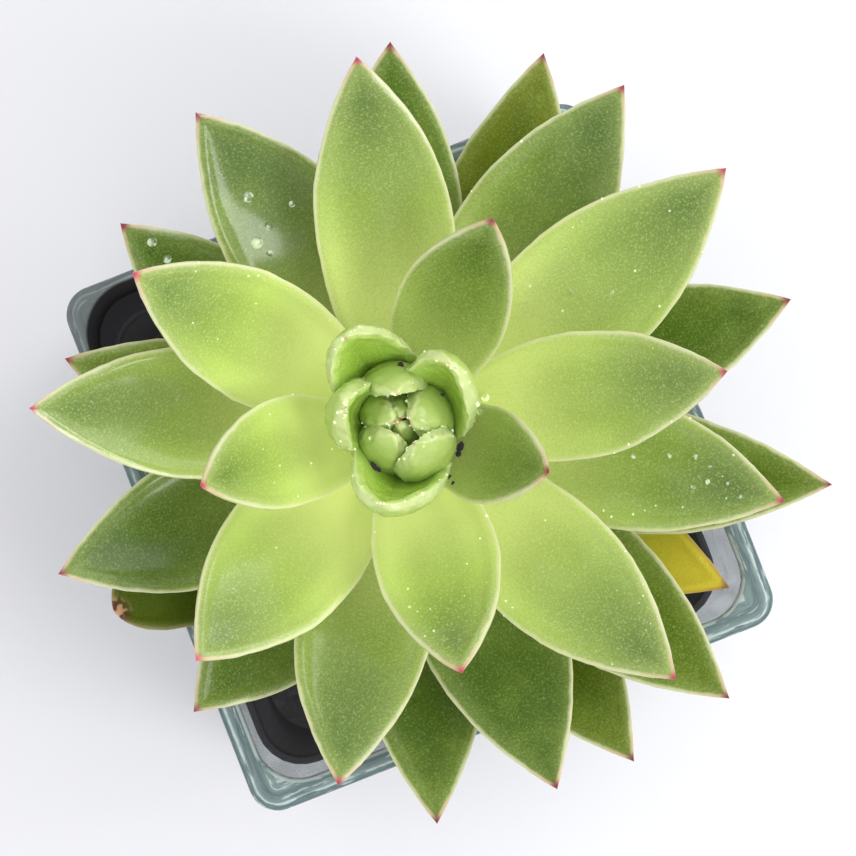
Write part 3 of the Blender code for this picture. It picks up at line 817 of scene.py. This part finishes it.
def clearGlass():
    marks = glassMarks
    ink = inkOf(glassColours)
    clear = Finish(
        "clearGlass", Transmission_Weight=1.0, IOR=glass["index"], Roughness=0.03,
        Emission_Strength=glass["glow"],
    )
    across, back, up = (clear.place(axis) for axis in "XYZ")
    hollow = insideSquare(across, back, glass["half"] - glass["wall"], glass["innerCorner"])
    inWall = clear.fade(hollow, *marks["inWall"])
    wave = clear.grain(*marks["wave"])
    cloudy = clear.grain(*marks["cloudy"])
    broken = clear.grain(*marks["broken"])

    # Painted glow: the thick floor and the foot of the walls give off light, standing in for light
    # gathering in the glass.
    paintedFloorGlow = clear.fade(up, *marks["paintedFloorGlowHeight"]) * inWall
    # The grow pot leans on the glass at one corner. Painted shade: the inner wall there is dark
    # and opaque, standing in for the black pot in shade behind it.
    leaning = back - across
    paintedCornerShade = clear.fade(leaning, *marks["leaning"]) * inWall
    paintedCornerShade = paintedCornerShade * clear.fade(up, *marks["leaningHeight"])
    tint = clear.blend(cloudy * marks["cloudShare"], ink["clear"], ink["rimLine"])
    thick = clear.blend(clear.fade(broken, *marks["patches"]), ink["deep"], ink["milky"])
    tint = clear.blend(clear.fade(up, *marks["floorHeight"]), tint, thick)
    glowing = paintedFloorGlow * clear.fade(broken, *marks["paintedFloorGlowPatches"]) * (1 - paintedCornerShade)
    clear.shows(
        Base_Color=clear.blend(paintedCornerShade, tint, ink["paintedShadedPot"]),
        Alpha=clear.fade(paintedCornerShade, 0, 1, glass["alpha"], 1),
        Emission_Color=clear.blend(glowing, noGlow, ink["paintedFloorGlow"]),
        Normal=clear.bumped(wave, marks["waveDepth"]),
    )

    # The rim has a shader of its own, which is painted dark where the grow pot touches the wall,
    # standing in for the black pot in shade.
    besides = (marks["touchCorner"][0] - across).atLeast(0)
    beyond = (back - marks["touchCorner"][1]).atLeast(0)
    fromCorner = (besides * besides + beyond * beyond) ** 0.5
    touch = clear.fade(fromCorner, *marks["touchRadius"])
    touch = touch * clear.fade(leaning, *marks["touchLeaning"])
    shaded = touch.atLeast(paintedCornerShade)
    paintedLines = paintedRimLight(clear, ink, across, back, hollow, broken)
    # The glow stands in for the light that the plastic behind the glass gives in the gap.
    inGap = paintedCornerShade * clear.fade(up, *marks["gapHeight"])
    rimShine = clear.node(
        "ShaderNodeBsdfPrincipled",
        sockets={
            "Base Color": clear.blend(shaded, paintedLines, ink["paintedShadedPot"]),
            "Roughness": clear.fade(shaded, 0, 1, 0.25, 0.95), "IOR": glass["index"],
            "Specular IOR Level": 0.3,
            "Emission Color": clear.blend(inGap, noGlow, ink["paintedShadedPot"]),
            "Emission Strength": glass["gapGlow"],
        },
    )
    rim = clear.fade(up, *marks["rimHeight"])
    rim = rim * (touch * (1 - marks["rimShare"]) + marks["rimShare"])
    body = Wire(clear.tree, clear.shader.outputs[0])
    mixed = clear.node("ShaderNodeMixShader", sockets={0: rim.atLeast(paintedCornerShade), 1: body, 2: rimShine})
    clear.tree.links.new(mixed.socket, clear.tree.nodes["Material Output"].inputs["Surface"])
    return clear.material


# Grow pot, soil and stem keep their solids and get their finishes

# A faint light of its own stands in for what the leaves scatter down into the pot.
scattered = {"Emission_Color": (0.93, 0.92, 1, 1), "Emission_Strength": 0.015}

# Painted light: the walls are lighter than the dark lip, lifting them out of the shade of the
# leaves, and they carry patches of dust.
plasticColours = {
    "wall": (58, 57, 62), "wornWall": (68, 67, 72), "lip": (34, 33, 37), "dust": (92, 90, 88)
}
plasticMarks = {
    "fine": (1800, 3, 0.6), "relief": 0.04, "broad": (60, 3, 0.5), "worn": (0.35, 0.7),
    "lipHeight": (93.2, 94.2), "dusty": (900, 4, 0.7), "dust": (0.62, 0.75, 0, 0.25),
    "roughness": (0.3, 0.7, 0.5, 0.65),
}
soilLooks = {
    "lumps": (420, 6, 0.7), "relief": 1.2, "stops": (0.3, 0.55, 0.75),
    "colours": ((40, 37, 38), (60, 56, 57), (88, 82, 78)),
}
stemLooks = {
    "rings": (300, 4, 0.6), "stretch": (1, 1, 4), "relief": 0.6, "stops": (0.3, 0.6, 0.8),
    "colours": ((92, 84, 48), (140, 134, 84), (170, 160, 112)),
}


def blackPlastic():
    marks = plasticMarks
    ink = inkOf(plasticColours)
    plastic = Finish("blackPlastic", Specular_IOR_Level=0.25, **scattered)
    broad = plastic.grain(*marks["broad"])
    # Painted light: everything below the lip is lighter, standing in for the light the walls lack
    # in the shade.
    paintedLitWalls = plastic.blend(plastic.fade(broad, *marks["worn"]), ink["wall"], ink["wornWall"])
    lip = plastic.fade(plastic.place("Z"), *marks["lipHeight"])
    colour = plastic.blend(lip, paintedLitWalls, ink["lip"])
    dust = plastic.fade(plastic.grain(*marks["dusty"]), *marks["dust"])
    return plastic.shows(
        Base_Color=plastic.blend(dust, colour, ink["dust"]),
        Roughness=plastic.fade(broad, *marks["roughness"]),
        Normal=plastic.bumped(plastic.grain(*marks["fine"]), marks["relief"]),
    )


def pottingSoil():
    earth = Finish("pottingSoil", Specular_IOR_Level=0.2, **scattered)
    lumps = earth.grain(*soilLooks["lumps"])
    colours = [paint(*colour) for colour in soilLooks["colours"]]
    return earth.shows(
        Base_Color=earth.ramp(lumps, soilLooks["stops"], colours), Roughness=0.95,
        Normal=earth.bumped(lumps, soilLooks["relief"]),
    )


def stemBark():
    bark = Finish("stemBark", Specular_IOR_Level=0.3)
    rings = bark.grain(*stemLooks["rings"], stretch=stemLooks["stretch"])
    colours = [paint(*colour) for colour in stemLooks["colours"]]
    return bark.shows(
        Base_Color=bark.ramp(rings, stemLooks["stops"], colours), Roughness=0.8,
        Normal=bark.bumped(rings, stemLooks["relief"]),
    )


def dressCarriedOver(soil):
    dressed = {"grow_pot": blackPlastic(), "potting_soil": soil, "stem": stemBark()}
    for name, material in dressed.items():
        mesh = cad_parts[name].data
        mesh.materials.clear()
        mesh.materials.append(material)
    print("grow pot, soil and stem")


# Camera, light and floor

photo = {
    "size": 856, "lens": 164.85, "sensor": 36, "height": 800, "centre": (3.29, 4.35),
    "roll": -21.3,
}


def makeCamera():
    data = bpy.data.cameras.new("camera")
    data.lens = photo["lens"]
    data.sensor_width = photo["sensor"]
    camera = bpy.data.objects.new("camera", data)
    camera.location = Vector((*photo["centre"], photo["height"])) * mm
    camera.rotation_euler = (0, 0, math.radians(photo["roll"]))
    bpy.context.scene.collection.objects.link(camera)
    bpy.context.scene.camera = camera


# A ray through a pixel of the photograph's frame: where it starts and its direction.
def throughPixel(across, down):
    focal = photo["lens"] / photo["sensor"] * photo["size"]
    middle = photo["size"] / 2
    ray = Vector(((across - middle) / focal, (middle - down) / focal, -1))
    ray.rotate(Matrix.Rotation(math.radians(photo["roll"]), 3, "Z"))
    return Vector((*photo["centre"], photo["height"])) * mm, ray.normalized()


# Azimuths are measured in the photograph's frame, from its right, anticlockwise. Sizes,
# distances and the room are in metres.
lights = {
    "window": {"azimuth": 34, "height": 42, "away": 1.3, "size": 0.9, "power": 4.8},
    "lamp": {"azimuth": -30, "height": 51, "away": 1.3, "size": 0.5, "power": 4.6},
}
room = {
    "middle": (0, 0, 0.12), "sky": 0.95, "skyColour": (0.98, 0.98, 1.0), "floorSize": 6,
    "floor": (243, 243, 246), "floorCloud": (240, 240, 243), "cloud": (6, 2, 0.5),
}


def makeLights():
    for name, facts in lights.items():
        data = bpy.data.lights.new(name, "AREA")
        data.shape = "DISK"
        data.size = facts["size"]
        data.energy = facts["power"]
        light = bpy.data.objects.new(name, data)
        turn = math.radians(facts["azimuth"] + photo["roll"])
        tilt = math.radians(facts["height"])
        level = math.cos(tilt)
        away = Vector((math.cos(turn) * level, math.sin(turn) * level, math.sin(tilt)))
        light.location = Vector(room["middle"]) + away * facts["away"]
        light.rotation_euler = away.to_track_quat("Z", "Y").to_euler()
        bpy.context.scene.collection.objects.link(light)
    world = bpy.data.worlds.new("room")
    world.use_nodes = True
    sky = world.node_tree.nodes["Background"]
    sky.inputs["Color"].default_value = (*room["skyColour"], 1)
    sky.inputs["Strength"].default_value = room["sky"]
    bpy.context.scene.world = world
    bpy.context.scene.view_settings.view_transform = "Standard"
    print("lights:", len(lights))


def makeFloor():
    bm = bmesh.new()
    bmesh.ops.create_grid(bm, x_segments=2, y_segments=2, size=room["floorSize"] / 2)
    mesh = bpy.data.meshes.new("floor")
    bm.to_mesh(mesh)
    bm.free()
    table = Finish("tableTop", Specular_IOR_Level=0.3)
    cloud = table.grain(*room["cloud"])
    colour = table.blend(cloud, paint(*room["floor"]), paint(*room["floorCloud"]))
    mesh.materials.append(table.shows(Base_Color=colour, Roughness=0.6))
    floor = bpy.data.objects.new("floor", mesh)
    bpy.context.scene.collection.objects.link(floor)


def main():
    makeCamera()
    makeLights()
    makeFloor()
    skins = {kind: leafSkin(kind) for kind in leafKinds}
    drops = []
    plantPieces = [*makeLargeLeaves(skins, drops), makeHeart(skins["young_leaf"], drops)]
    surface = surfaceOf(plantPieces)
    makeDrops(drops, surface)
    makeGlass()
    soil = pottingSoil()
    dressCarriedOver(soil)
    makeCrumbs(surface, soil)
    bpy.context.view_layer.update()


main()
